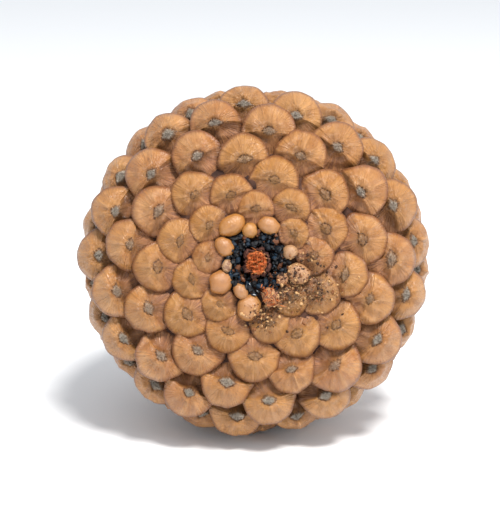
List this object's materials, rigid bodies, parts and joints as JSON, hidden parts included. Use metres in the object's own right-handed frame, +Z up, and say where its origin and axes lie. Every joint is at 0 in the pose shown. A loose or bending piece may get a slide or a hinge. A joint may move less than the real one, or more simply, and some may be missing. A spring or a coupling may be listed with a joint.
{
  "type": "pine cone",
  "caption": "Ripe, opened pine cone lying on its side, with rhomboid seed scales in a spiral round a woody axis and a broken stalk stub in its flat stalk end.",
  "frame": {"origin": "on the surface that the cone lies on, under the middle of its box", "axes": "+Z up; the stalk end faces -Y and a little up, and the tip points to +Y and a little down; +X is to the right seen from the stalk end"},
  "size_m": [0.0976, 0.0976, 0.0964],
  "materials": {
    "cone_scale": "matt weathered scale wood",
    "stalk_wood": "rough broken fibres"
  },
  "bodies": {
    "root": {"cone": "cone_scale", "stalk_stub": "stalk_wood"}
  },
  "joints": []
}
